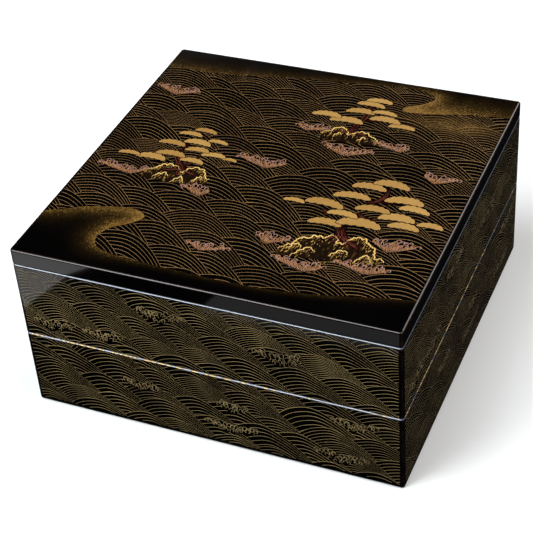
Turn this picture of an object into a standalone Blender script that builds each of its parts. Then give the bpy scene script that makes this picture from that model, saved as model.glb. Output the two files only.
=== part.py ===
"""A square lacquer box of two stacked tiers and a lift-off lid, standing on its foot at the origin.

Run it with: blender --background --python part.py

Each of the three pieces is one section carried round a rounded square. The section is read from
the underside, up the outer face, over the top or the rim, and down the inside. Its points are
given as inset, the distance in from the box's outer faces, and height above the table.
Lengths are metres, +Z is up, and the front face looks along -Y.
"""

import math

import bmesh
import bpy

MM = 0.001

# The stack as it stands closed
SIDE = 195.0 * MM                  # width and depth of the tiers and of the lid
LOWER_HEIGHT = 44.4 * MM           # lower tier, from the table to its rim
UPPER_HEIGHT = 42.2 * MM           # upper tier, from the seam to its rim
LID_HEIGHT = 8.5 * MM              # the lid's side band, from the seam to its top
SEAM = 0.3 * MM                    # air between a piece and the rim that it stands on

# Boards
WALL = 5.0 * MM                    # side boards of both tiers
FLOOR = 4.0 * MM                   # bottom boards of both tiers
FOOT = 2.0 * MM                    # height of the lower tier's bottom board above the table
LID_BOARD = 4.5 * MM               # top board of the lid

# How a piece is kept in place on the rim below it
PLUG_DEPTH = 3.0 * MM              # what drops into the opening below
PLUG_PLAY = 0.6 * MM               # play between that and the side boards, on each side
RIDGE = 3.0 * MM                   # thickness of the ridge under the lid

# Rounded edges
CORNER = 1.8 * MM                  # upright outer corners
INNER_CORNER = 2.5 * MM            # upright inner corners
RIDGE_CORNER = 2.0 * MM            # upright inner corners of the lid's ridge
LID_EDGE = 0.8 * MM                # round the lid's top
RIM_EDGE = 0.7 * MM                # rims and edges at the seams
BASE_EDGE = 1.5 * MM               # where the side boards meet the table
SOFT_EDGE = 0.4 * MM               # edges that the closed box hides
FILLET = 1.2 * MM                  # where a board meets the boards at its sides

CORNER_STEPS = 6                   # flats to an upright corner
EDGE_STEPS = 4                     # flats to a rounded edge
SMOOTH_ANGLE = math.radians(35.0)  # steeper creases than this stay sharp

LACQUER_BLACK = (0.010, 0.008, 0.008, 1.0)
LACQUER_ROUGHNESS = 0.12


class Face:
    """An upright face of a piece, at one inset, with the radius of its upright corners.

    Every point of an edge keeps the corner centres of the face that the edge belongs to, so its
    corner gets as much tighter as the point lies further in.
    """

    def __init__(self, inset, corner):
        self.inset = inset
        self.corner = corner

    def quarter(self, side, centre_height, radius, start, sweep):
        """A quarter circle, round a centre that lies one radius inwards (1) or outwards (-1)."""
        points = []
        for step in range(EDGE_STEPS + 1):
            angle = math.radians(start + sweep * step / EDGE_STEPS)
            inwards = side * radius + radius * math.cos(angle)
            height = centre_height + radius * math.sin(angle)
            points.append((self.inset + inwards, height, self.corner - inwards))
        return points


class OuterFace(Face):
    """A face that looks away from the box's middle."""

    def from_underside(self, height, radius):
        radius = min(radius, 0.9 * self.corner)
        return self.quarter(1, height + radius, radius, 270.0, -90.0)

    def onto_top(self, height, radius):
        radius = min(radius, 0.9 * self.corner)
        return self.quarter(1, height - radius, radius, 180.0, -90.0)

    def out_under_seat(self, height, radius):
        return self.quarter(-1, height - radius, radius, 0.0, 90.0)


class InnerFace(Face):
    """A face that looks towards the box's middle."""

    def down_from_rim(self, height, radius):
        return self.quarter(-1, height - radius, radius, 90.0, -90.0)

    def onto_underside(self, height, radius):
        return self.quarter(-1, height + radius, radius, 0.0, -90.0)

    def onto_floor(self, height, radius):
        radius = min(radius, 0.9 * self.corner)
        return self.quarter(1, height + radius, radius, 180.0, 90.0)

    def down_from_roof(self, height, radius):
        radius = min(radius, 0.9 * self.corner)
        return self.quarter(1, height - radius, radius, 90.0, 90.0)


OUTSIDE = OuterFace(0.0, CORNER)
INSIDE = InnerFace(WALL, INNER_CORNER)
PLUG = OuterFace(WALL + PLUG_PLAY, INNER_CORNER - PLUG_PLAY)
RIDGE_INSIDE = InnerFace(WALL + PLUG_PLAY + RIDGE, RIDGE_CORNER)


def clear_scene():
    for thing in list(bpy.data.objects):
        bpy.data.objects.remove(thing)


def lacquer(name):
    """Polished black lacquer."""
    material = bpy.data.materials.new(name)
    material.use_nodes = True
    shader = material.node_tree.nodes["Principled BSDF"]
    shader.inputs["Base Color"].default_value = LACQUER_BLACK
    shader.inputs["Roughness"].default_value = LACQUER_ROUGHNESS
    shader.inputs["Metallic"].default_value = 0.0
    return material


def rounded_square(mesh, inset, height, corner):
    """One ring of vertices at that inset and height, anticlockwise as seen from above."""
    reach = SIDE / 2 - inset - corner
    ring = []
    for side in range(4):
        for step in range(CORNER_STEPS + 1):
            angle = math.radians(90.0 * (side + step / CORNER_STEPS))
            across = reach if side in (0, 3) else -reach
            along = reach if side in (0, 1) else -reach
            x = across + corner * math.cos(angle)
            y = along + corner * math.sin(angle)
            ring.append(mesh.verts.new((x, y, height)))
    return ring


def carry_round(name, section):
    """The solid that a section makes, closed by a flat face at its first and its last point."""
    mesh = bmesh.new()
    rings = [rounded_square(mesh, *point) for point in section]
    for ring, following in zip(rings, rings[1:]):
        for index, vert in enumerate(ring):
            after = (index + 1) % len(ring)
            mesh.faces.new((vert, ring[after], following[after], following[index]))
    mesh.faces.new(reversed(rings[0]))
    mesh.faces.new(rings[-1])
    data = bpy.data.meshes.new(name)
    mesh.to_mesh(data)
    mesh.free()
    data.materials.append(lacquer(name + "_lacquer"))
    data.shade_smooth()
    data.set_sharp_from_angle(angle=SMOOTH_ANGLE)
    piece = bpy.data.objects.new(name, data)
    bpy.context.scene.collection.objects.link(piece)
    return piece


def inside_of_tier(rim, floor):
    """From a tier's rim, down the inner face of its side boards, onto its floor."""
    return INSIDE.down_from_rim(rim, RIM_EDGE) + INSIDE.onto_floor(floor, FILLET)


def plug_below(seat):
    """From a plug's underside, up its face, and out to the seat that rests on the rim below."""
    return (
        PLUG.from_underside(seat - PLUG_DEPTH, SOFT_EDGE)
        + PLUG.out_under_seat(seat, SOFT_EDGE)
        + OUTSIDE.from_underside(seat, RIM_EDGE)
    )


def lower_tier():
    """The lower tier: its side boards run down past its bottom board and are its foot."""
    return carry_round("lower_tier", (
        INSIDE.down_from_roof(FOOT, SOFT_EDGE)
        + INSIDE.onto_underside(0.0, SOFT_EDGE)
        + OUTSIDE.from_underside(0.0, BASE_EDGE)
        + OUTSIDE.onto_top(LOWER_HEIGHT, RIM_EDGE)
        + inside_of_tier(LOWER_HEIGHT, FOOT + FLOOR)
    ))


def upper_tier():
    """The upper tier: its bottom board drops into the opening of the lower one."""
    seat = LOWER_HEIGHT + SEAM
    rim = seat + UPPER_HEIGHT
    return carry_round("upper_tier", (
        plug_below(seat)
        + OUTSIDE.onto_top(rim, RIM_EDGE)
        + inside_of_tier(rim, seat - PLUG_DEPTH + FLOOR)
    ))


def lid():
    """The lid: a board with a plain side band, and a ridge under it that drops into the opening."""
    seat = LOWER_HEIGHT + SEAM + UPPER_HEIGHT + SEAM
    top = seat + LID_HEIGHT
    return carry_round("lid", (
        RIDGE_INSIDE.down_from_roof(top - LID_BOARD, FILLET)
        + RIDGE_INSIDE.onto_underside(seat - PLUG_DEPTH, SOFT_EDGE)
        + plug_below(seat)
        + OUTSIDE.onto_top(top, LID_EDGE)
    ))


def main():
    clear_scene()
    lower_tier()
    upper_tier()
    lid()


main()
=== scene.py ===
# %% [markdown]
# # A two-tier lacquer box with pictures in sprinkled gold
#
# The real box is wood under many coats of black lacquer. Its pictures are drawn with a fine
# brush and wet lacquer, and gold powder is sprinkled on before it dries. This lesson takes the
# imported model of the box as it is, gives it its lacquer, and then makes the gold: mist, ripples,
# sea spray, rocks and pine trees, all worked out by rules and not painted from a picture.

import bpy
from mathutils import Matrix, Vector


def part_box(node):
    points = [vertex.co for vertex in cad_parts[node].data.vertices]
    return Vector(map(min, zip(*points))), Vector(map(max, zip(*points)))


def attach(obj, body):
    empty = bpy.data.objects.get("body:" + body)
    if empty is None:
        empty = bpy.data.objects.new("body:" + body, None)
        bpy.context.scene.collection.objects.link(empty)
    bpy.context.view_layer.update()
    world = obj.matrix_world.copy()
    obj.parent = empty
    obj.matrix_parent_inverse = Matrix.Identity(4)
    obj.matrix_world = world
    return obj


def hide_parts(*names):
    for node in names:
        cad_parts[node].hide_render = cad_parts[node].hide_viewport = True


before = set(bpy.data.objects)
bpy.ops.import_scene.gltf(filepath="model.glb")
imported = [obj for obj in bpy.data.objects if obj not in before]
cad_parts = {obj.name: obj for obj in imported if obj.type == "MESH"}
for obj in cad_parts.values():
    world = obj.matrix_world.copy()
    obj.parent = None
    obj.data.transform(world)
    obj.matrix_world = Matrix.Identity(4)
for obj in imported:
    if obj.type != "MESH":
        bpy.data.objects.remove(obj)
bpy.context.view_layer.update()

# %% Import what the lesson uses
import math

import bmesh
import bpy
import numpy as np
from mathutils import Matrix, Vector

MM = 0.001
BODY = "root"


def new_object(name, data):
    thing = bpy.data.objects.new(name, data)
    bpy.context.scene.collection.objects.link(thing)
    return thing


# %% [markdown]
# ## Sizes
#
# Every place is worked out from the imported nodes, so the pictures stay on the box if its size
# changes. The pictures themselves are drawn in millimetres, on flat sheets, as their maker
# would draw them, and each sheet is laid on its face of the box at the end.

# %% Read the sizes of the box
lid_low, lid_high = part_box("lid")
lower_low, lower_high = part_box("lower_tier")
upper_low, upper_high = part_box("upper_tier")

SIDE = (lid_high.x - lid_low.x) / MM
HALF = SIDE / 2
LID_TOP = lid_high.z / MM
LOWER_RIM = lower_high.z / MM
UPPER_RIM = upper_high.z / MM
SEAM = 0.3          # air between a piece and the rim below it
RIM_EDGE = 0.7      # radius of the rims' rounded shoulders
print(f"side {SIDE:.1f}, rims at {LOWER_RIM:.1f} and {UPPER_RIM:.1f}, lid top at {LID_TOP:.1f} mm")

# %% [markdown]
# ## Camera
#
# The photograph was taken from the front right, from above, with a long lens and the camera
# tipped a little to the right. Those four numbers and the camera's place were found by fitting
# the box's corners, and the lens needs no shift.

# %% Place the camera
CAMERA_PLACE = Vector((1.3045, -2.8732, 2.6575)) * SIDE * MM
CAMERA_AZIMUTH = math.radians(25.28)
CAMERA_ELEVATION = math.radians(38.04)
CAMERA_ROLL = math.radians(-4.62)
LENS = 101.5
SENSOR = 36.0
FARTHEST = 20.0


def make_camera():
    data = bpy.data.cameras.new("camera")
    data.lens = LENS
    data.sensor_width = SENSOR
    data.clip_end = FARTHEST
    camera = new_object("camera", data)
    turn = Matrix.Rotation(CAMERA_AZIMUTH, 4, "Z")
    tilt = Matrix.Rotation(math.radians(90.0) - CAMERA_ELEVATION, 4, "X")
    roll = Matrix.Rotation(CAMERA_ROLL, 4, "Z")
    camera.matrix_world = Matrix.Translation(CAMERA_PLACE) @ turn @ tilt @ roll
    bpy.context.scene.camera = camera


make_camera()
print("camera at", tuple(round(value, 4) for value in CAMERA_PLACE))

# %% [markdown]
# ## Nodes as expressions
#
# A finish is a tree of nodes. Drawing it node by node hides the idea, so two small classes let
# Python's own operators write the tree: `Signal` is a socket that can be added and multiplied,
# and `Sheet` adds any node in one call. The same `Sheet` serves Geometry Nodes further down.


# %% Write node trees as Python expressions
class Signal:
    """A socket that gives a value, with Python's operators as Math nodes."""

    def __init__(self, sheet, socket):
        self.sheet = sheet
        self.socket = socket

    def also(self, name):
        """Another output of the same node."""
        return Signal(self.sheet, self.socket.node.outputs[name])

    def maths(self, operation, *values):
        sockets = dict(enumerate(values))
        return self.sheet.add("ShaderNodeMath", {"operation": operation}, sockets)

    def __add__(self, other):
        return self.maths("ADD", self, other)

    def __sub__(self, other):
        return self.maths("SUBTRACT", self, other)

    def __rsub__(self, other):
        return self.maths("SUBTRACT", other, self)

    def __mul__(self, other):
        return self.maths("MULTIPLY", self, other)

    def __truediv__(self, other):
        return self.maths("DIVIDE", self, other)

    def __rtruediv__(self, other):
        return self.maths("DIVIDE", other, self)

    def __neg__(self):
        return self.maths("MULTIPLY", self, -1.0)

    def below(self, limit):
        return self.maths("LESS_THAN", self, limit)

    def exp(self):
        return self.maths("EXPONENT", self)

    def least(self, other):
        return self.maths("MINIMUM", self, other)

    def most(self, other):
        return self.maths("MAXIMUM", self, other)

    def size(self):
        return self.maths("ABSOLUTE", self)

    def step(self, low, high, low_value=0.0, high_value=1.0):
        """Goes smoothly from one value to another as this one goes from low to high."""
        sockets = {"From Min": low, "From Max": high, "To Min": low_value, "To Max": high_value}
        return self.sheet.add(
            "ShaderNodeMapRange",
            {"interpolation_type": "SMOOTHSTEP"},
            {"Value": self, **sockets},
        )

    __radd__ = __add__
    __rmul__ = __mul__


class Sheet:
    """A node tree that is being written."""

    def __init__(self, tree):
        self.tree = tree
        tree.nodes.clear()

    def add(self, kind, settings=None, sockets=None):
        """Adds a node, with its settings first and then its sockets' values or links."""
        node = self.tree.nodes.new(kind)
        for name, value in (settings or {}).items():
            setattr(node, name, value)
        for name, value in (sockets or {}).items():
            if isinstance(value, Signal):
                self.tree.links.new(value.socket, node.inputs[name])
            else:
                node.inputs[name].default_value = value
        outputs = [socket for socket in node.outputs if socket.enabled]
        return Signal(self, outputs[0]) if outputs else node


# %% [markdown]
# A `Finish` is a sheet for a material. It knows where a point is on the object, and mixes
# colours with Mix nodes, since a Math node would turn them grey.


# %% Write a material
class Finish(Sheet):
    """A material that is being written, on object coordinates in millimetres."""

    def __init__(self, name):
        self.material = bpy.data.materials.new(name)
        self.material.use_nodes = True
        super().__init__(self.material.node_tree)
        here = self.add("ShaderNodeTexCoord").also("Object")
        settings = {"operation": "SCALE"}
        self.place = self.add("ShaderNodeVectorMath", settings, {0: here, "Scale": 1.0 / MM})

    def axis(self, name):
        return self.add("ShaderNodeSeparateXYZ", None, {0: self.place}).also(name)

    def noise(self, grain, detail=2.0, stretch=(1.0, 1.0, 1.0)):
        """Soft noise from 0 to 1, whose lumps are about as large as grain."""
        settings = {"vector_type": "POINT"}
        scale = tuple(1.0 / (grain * share) for share in stretch)
        spot = self.add("ShaderNodeMapping", settings, {"Vector": self.place, "Scale": scale})
        sockets = {"Vector": spot, "Scale": 1.0, "Detail": detail}
        return self.add("ShaderNodeTexNoise", None, sockets)

    def grains(self, size):
        """A random value for each little cell of powder."""
        sockets = {"Vector": self.place, "Scale": 1.0 / size}
        colour = self.add("ShaderNodeTexVoronoi", None, sockets).also("Color")
        return self.add("ShaderNodeSeparateColor", None, {0: colour})

    def attribute(self, name):
        return self.add("ShaderNodeAttribute", {"attribute_name": name}).also("Fac")

    def mix(self, share, first, second):
        """A colour between two colours."""
        sockets = {0: share, 6: first, 7: second}
        node = self.add("ShaderNodeMix", {"data_type": "RGBA"}, sockets).socket.node
        return Signal(self, next(out for out in node.outputs if out.type == "RGBA"))

    def bump(self, height, depth, strength=1.0):
        """A normal that follows a height from 0 to 1 over a depth in millimetres."""
        sockets = {"Height": height, "Distance": depth * MM, "Strength": strength}
        return self.add("ShaderNodeBump", None, sockets)

    def close(self, colour, roughness, metallic=0.0, normal=None, plain=None):
        """Ends the material. What is plain is the same all over and is set on the shader."""
        sockets = {"Base Color": colour, "Roughness": roughness, "Metallic": metallic}
        if normal is not None:
            sockets["Normal"] = normal
        shader = self.add("ShaderNodeBsdfPrincipled", None, {**sockets, **(plain or {})})
        self.add("ShaderNodeOutputMaterial", None, {"Surface": shader})
        return self.material


def screen_colour(red, green, blue):
    """A colour picked as it looks on a screen, 0 to 255, turned into light."""
    values = []
    for value in (red, green, blue):
        share = value / 255.0
        values.append(share / 12.92 if share <= 0.04045 else ((share + 0.055) / 1.055) ** 2.4)
    return (*values, 1.0)


# %% [markdown]
# ## Black lacquer
#
# Polished lacquer is black to its depth and mirrors what stands around it. Up close it is never
# quite flat: the last coat leaves a slow ripple, and handling leaves faint dull smears. Along
# its edges the coats wear thin and a reddish brown shows through, which also serves as a painted
# highlight on the edges. Each tier's rim carries a painted highlight, a pale bluish band, under a
# more polished coat: together they make the thin line at each seam.

# %% Mix the black lacquer
LACQUER = screen_colour(1, 1, 1)
LACQUER_WARM = screen_colour(3, 2, 2)
# The reddish brown of the edges stands for wear and is also a painted highlight.
EDGE_BROWN_WEAR_AND_SHEEN = screen_colour(74, 50, 44)
# The pale bluish rim colour below is a painted highlight for the line at each seam.
RIM_PAINTED_HIGHLIGHT = screen_colour(128, 134, 152)
LACQUER_SHINE = {"IOR": 1.5}
RIM_SHINE = {"Coat Roughness": 0.05, "Coat IOR": 1.9}
POLISH = 0.06               # roughness where the lacquer is clean
SMEAR = 0.05                # what a smear of handling adds to it
COAT_WAVE = 0.012           # depth of the last coat's slow ripple
# The bands and shares below place and weigh the edges' brown: wear, and a painted highlight.
WEAR_AND_SHEEN_BAND = (1.5, 0.2)      # where wear starts and where it is full, from an upright edge
TOP_WEAR_AND_SHEEN_BAND = (0.8, 0.1)  # the same, below the lid's top
TIER_WEAR_AND_SHEEN = 0.2
LID_WEAR_AND_SHEEN = 0.5
HAZE_PLACE = (72.0, 65.0)
HAZE_REACH = (20.0, 7.0)
HAZE_GOLD = 0.34
MIST_POWDER = 0.34          # size of the grains of mist
MIST_SPARKLE = 0.5          # size of the patches in which some of them are brighter
GOLD_MIST = screen_colour(132, 95, 40)
GOLD_MIST_BRIGHT = screen_colour(186, 144, 76)


def lacquer_ground(finish):
    """The colour, roughness and normal of polished lacquer."""
    cloud = finish.noise(45.0, 3.0).step(0.35, 0.75)
    colour = finish.mix(cloud, LACQUER, LACQUER_WARM)
    smear = finish.noise(22.0, 4.0, (1.0, 2.4, 1.0)).step(0.45, 0.8)
    normal = finish.bump(finish.noise(9.0, 1.0), COAT_WAVE)
    return colour, smear * SMEAR + POLISH, normal


def wear_and_sheen_on_edges(finish):
    """Edge wear and painted highlight: 1 along the twelve outer edges, 0 away, broken up as wear
    is.
    """
    start, full = (HALF - away for away in WEAR_AND_SHEEN_BAND)
    near_x, near_y = (finish.axis(name).size().step(start, full) for name in "XY")
    near_top = finish.axis("Z").step(*(LID_TOP - away for away in TOP_WEAR_AND_SHEEN_BAND))
    upright = near_x * near_y
    around_top = near_top * near_x.most(near_y)
    patchy = finish.noise(3.0, 3.0).step(0.35, 0.7, 0.25, 1.0)
    return upright.most(around_top) * patchy


# %% Mix the lacquer of the tiers
def tier_lacquer(rim):
    """Lacquer of a tier, with a painted highlight and a polished coat along its rim."""
    finish = Finish("tier_lacquer")
    colour, roughness, normal = lacquer_ground(finish)
    # worn: reddish brown along the edges, partly wear and partly a painted highlight.
    worn = wear_and_sheen_on_edges(finish) * TIER_WEAR_AND_SHEEN
    colour = finish.mix(worn, colour, EDGE_BROWN_WEAR_AND_SHEEN)
    polished = finish.axis("Z").step(rim - 1.2 * RIM_EDGE, rim - 0.8 * RIM_EDGE)
    # A painted highlight: a pale bluish band on the rim's shoulder, under the polished coat.
    painted_rim_highlight = finish.axis("Z").step(rim - 0.7 * RIM_EDGE, rim - 0.4 * RIM_EDGE)
    colour = finish.mix(painted_rim_highlight * 0.7, colour, RIM_PAINTED_HIGHLIGHT)
    plain = {**LACQUER_SHINE, **RIM_SHINE, "Coat Weight": polished}
    return finish.close(colour, roughness + worn * 0.1, 0.0, normal, plain)


# %% Mix the lacquer of the lid
def lid_lacquer():
    """Lacquer with gold mist, which lies along two shores drawn on the lid's top.

    Three attributes of the lid's own mesh say how far a point lies behind the shore, how much
    gold there is at that shore, and over what distance it thins out.
    """
    finish = Finish("lid_lacquer")
    colour, roughness, normal = lacquer_ground(finish)
    # worn: reddish brown along the edges, partly wear and partly a painted highlight.
    worn = wear_and_sheen_on_edges(finish) * LID_WEAR_AND_SHEEN
    colour = finish.mix(worn, colour, EDGE_BROWN_WEAR_AND_SHEEN)
    behind = finish.attribute("behind_shore")
    amount = finish.attribute("gold_at_shore")
    fade = finish.attribute("gold_fade")
    thinning = (-(behind.most(0.0) / fade.most(0.1))).exp()
    shore = behind.step(-0.1, 0.5)
    drift = finish.noise(7.0, 3.0).step(0.2, 0.8, 0.72, 1.15)
    right = (finish.axis("X") - HAZE_PLACE[0]) / HAZE_REACH[0]
    up = (finish.axis("Y") - HAZE_PLACE[1]) / HAZE_REACH[1]
    on_top = finish.axis("Z").step(LID_TOP - 0.3, LID_TOP - 0.1)
    haze = (-(right * right + up * up)).exp() * on_top
    density = amount * thinning * shore * drift + haze * HAZE_GOLD * drift
    powder = finish.grains(MIST_POWDER)
    sprinkled = (density * 1.44 - 0.22 - powder).step(-0.22, 0.22)
    veil = (density * 0.75).least(1.0)
    gold = (sprinkled * 0.6 + veil * 0.45).least(1.0)
    sparkle = finish.grains(MIST_SPARKLE).step(0.55, 1.0)
    bright = finish.mix(sparkle, GOLD_MIST, GOLD_MIST_BRIGHT)
    colour = finish.mix(gold, colour, bright)
    roughness = gold * 0.32 + roughness
    return finish.close(colour, roughness, gold * 0.5, normal, LACQUER_SHINE)


# %% [markdown]
# ## The lid's mist
#
# Two banks of mist lie on the lid, one along the back and one along the front left. Each has a
# sharp shore towards the water and thins out behind it. A shore is a smooth curve through the
# few points that its bends need, and each point also says how much gold lies there and how far
# it reaches. The lid's top is cut into small squares, which then carry these as attributes. A
# thin haze of the same powder also hangs over the water at the back right.

# %% Draw the two shores
# right, up, gold from 0 to 1, reach of the gold in millimetres
BACK_SHORE = [
    (-112.0, 78.0, 0.30, 7.0),
    (-70.0, 78.0, 0.34, 5.5),
    (-47.0, 81.0, 0.31, 5.0),
    (-27.0, 85.0, 0.23, 4.2),
    (3.0, 88.8, 0.23, 3.5),
    (34.0, 92.8, 0.23, 2.5),
    (47.0, 92.0, 0.40, 3.0),
    (54.2, 87.5, 0.85, 4.0),
    (50.5, 80.8, 0.95, 9.0),
    (43.0, 75.8, 1.00, 13.0),
    (40.6, 72.6, 1.00, 16.0),
    (44.0, 70.2, 1.00, 15.0),
    (58.0, 72.2, 0.80, 11.0),
    (77.0, 76.8, 0.45, 8.0),
    (112.0, 81.5, 0.22, 6.0),
]
FRONT_SHORE = [
    (-112.0, -71.0, 0.40, 3.0),
    (-90.0, -61.0, 0.48, 3.5),
    (-77.0, -54.4, 0.52, 4.6),
    (-60.0, -49.9, 0.62, 6.0),
    (-51.0, -50.6, 0.78, 8.0),
    (-46.8, -54.8, 0.85, 8.0),
    (-51.0, -61.0, 0.78, 6.4),
    (-58.5, -66.8, 0.72, 5.0),
    (-62.0, -74.5, 0.74, 4.0),
    (-59.5, -81.0, 0.62, 3.0),
    (-52.0, -84.8, 0.42, 2.2),
    (-38.0, -86.5, 0.24, 1.5),
    (0.0, -87.8, 0.17, 1.2),
    (28.0, -87.2, 0.17, 1.2),
    (54.0, -83.6, 0.18, 1.4),
    (78.0, -78.0, 0.18, 1.4),
    (112.0, -71.0, 0.17, 1.4),
]
SHORE_STEPS = 14
BEYOND = 20.0        # how far a bank's outline runs past the lid
SHORE_BLEND = 1.5    # over what distance neighbouring parts of a shore share their gold

# %% Measure a point against a shore
def smooth_through(points, steps):
    """Rows of numbers along a smooth curve that passes through each of the points."""
    points = np.array(points, float)
    ends = np.vstack([2 * points[0] - points[1], points, 2 * points[-1] - points[-2]])
    rows = []
    share = np.linspace(0.0, 1.0, steps, endpoint=False)[:, None]
    for before, start, end, after in zip(ends, ends[1:], ends[2:], ends[3:]):
        slope_in = (end - before) / 2
        slope_out = (after - start) / 2
        rows.append(
            (2 * share**3 - 3 * share**2 + 1) * start
            + (share**3 - 2 * share**2 + share) * slope_in
            + (3 * share**2 - 2 * share**3) * end
            + (share**3 - share**2) * slope_out
        )
    return np.vstack([*rows, points[-1:]])


def inside(outline, spots):
    """Which of the spots lie inside a closed outline."""
    x, y = spots[:, 0:1], spots[:, 1:2]
    start = outline
    end = np.roll(outline, -1, axis=0)
    crosses = (start[:, 1] > y) != (end[:, 1] > y)
    rise = np.where(end[:, 1] == start[:, 1], 1e-9, end[:, 1] - start[:, 1])
    at = start[:, 0] + (y - start[:, 1]) * (end[:, 0] - start[:, 0]) / rise
    return (crosses & (x < at)).sum(axis=1) % 2 == 1


class Bank:
    """A bank of mist between its shore and the far side of the lid."""

    def __init__(self, shore, far_side):
        self.shore = smooth_through(shore, SHORE_STEPS)
        corners = [(HALF + BEYOND, far_side), (-HALF - BEYOND, far_side)]
        self.outline = np.vstack([self.shore[:, :2], corners])

    def holds(self, spots):
        return inside(self.outline, spots)

    def measure(self, spots):
        """How far each spot lies behind the shore, and the gold and its reach at that shore."""
        apart = np.linalg.norm(spots[:, None, :] - self.shore[None, :, :2], axis=2)
        nearest = apart.min(axis=1)
        weight = np.exp(-(apart - nearest[:, None]) / SHORE_BLEND)
        weight /= weight.sum(axis=1, keepdims=True)
        behind = np.where(self.holds(spots), nearest, -nearest)
        return behind, weight @ self.shore[:, 2], weight @ self.shore[:, 3]


BANKS = [Bank(BACK_SHORE, HALF + BEYOND), Bank(FRONT_SHORE, -HALF - BEYOND)]
print("shore points:", [len(bank.shore) for bank in BANKS])

# %% [markdown]
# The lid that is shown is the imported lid's own mesh, merged into one skin, with its top cut into
# small squares. Its shape stays exactly as it was. Smooth shading alone would tilt the flat
# faces next to each rounded edge and bend what they mirror, so the normals are weighted by area.

# %% Make the lid that carries the mist
TOP_SQUARE = 2.0
LEVEL = 0.999        # an upward normal at least this long belongs to the flat top
OFF_TOP = -5.0       # in front of every shore, so that the lid's sides carry no mist


def cut_top(mesh, axis):
    """Cuts the flat top by planes across one axis."""
    normal = Vector((0.0, 0.0, 0.0))
    normal[axis] = 1.0
    count = int(HALF / TOP_SQUARE)
    for step in range(-count, count + 1):
        top = [face for face in mesh.faces if face.normal.z > LEVEL]
        around = {edge for face in top for edge in face.edges}
        corners = {vert for face in top for vert in face.verts}
        place = normal * step * TOP_SQUARE * MM
        parts = [*top, *around, *corners]
        bmesh.ops.bisect_plane(mesh, geom=parts, dist=1e-7, plane_co=place, plane_no=normal)


def shade_flush(data):
    """Shades rounded edges so that they end flush with the flat faces, which stay flat."""
    normals = np.zeros((len(data.vertices), 3))
    for face in data.polygons:
        normals[list(face.vertices)] += np.array(face.normal) * face.area
    normals /= np.linalg.norm(normals, axis=1, keepdims=True)
    data.shade_smooth()
    data.normals_split_custom_set_from_vertices(normals.tolist())


def make_lid():
    mesh = bmesh.new()
    mesh.from_mesh(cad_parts["lid"].data)
    bmesh.ops.remove_doubles(mesh, verts=mesh.verts, dist=1e-6)
    for face in mesh.faces:
        face.normal_update()
    level = [face for face in mesh.faces if face.normal.z > 0.9999]
    top_height = (LID_TOP - 0.01) * MM
    top = [face for face in level if face.calc_center_median().z > top_height]
    bmesh.ops.dissolve_faces(mesh, faces=top)
    for axis in (0, 1):
        cut_top(mesh, axis)
    data = bpy.data.meshes.new("lacquered_lid")
    mesh.to_mesh(data)
    mesh.free()
    shade_flush(data)
    return new_object("lacquered_lid", data)


# %% Let the lid carry the mist
def carry_mist(lid):
    """Writes the three attributes that the lid's finish reads."""
    places = np.array([vert.co for vert in lid.data.vertices]) / MM
    spots = places[:, :2]
    on_top = places[:, 2] > LID_TOP - 0.3
    first, second = (bank.measure(spots) for bank in BANKS)
    nearer = first[0] > second[0]
    names = ("behind_shore", "gold_at_shore", "gold_fade")
    for name, one, other in zip(names, first, second):
        values = np.where(nearer, one, other)
        if name == "behind_shore":
            values = np.where(on_top, values, OFF_TOP)
        layer = lid.data.attributes.new(name, "FLOAT", "POINT")
        layer.data.foreach_set("value", values.astype(np.float32))


lid = make_lid()
carry_mist(lid)
lid.data.materials.clear()
lid.data.materials.append(lid_lacquer())
print("lid faces:", len(lid.data.polygons))

# %% [markdown]
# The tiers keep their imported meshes, because only their finish changes. The rims lie at
# different heights, so each tier has a lacquer of its own.

# %% Lacquer the two tiers
for node, rim in (("upper_tier", UPPER_RIM), ("lower_tier", LOWER_RIM)):
    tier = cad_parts[node]
    tier.data.materials.clear()
    tier.data.materials.append(tier_lacquer(rim))
    print(node, "rim at", round(rim, 1))

# %% [markdown]
# ## Recipes of geometry
#
# Three Geometry Nodes recipes turn flat drawings into films of gold. `drawn_line` sweeps a low
# arched section along every path, as a loaded brush leaves it. `cut_leaf` gives closed outlines
# a thickness. `dabs` sets one small leaf of gold on every point. A ripple is about 0.04 mm high
# and the uppermost cushion a quarter of a millimetre, as in real raised gold, so the films show
# as colour and a faint shine, and their shadows part them from the black.


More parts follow.
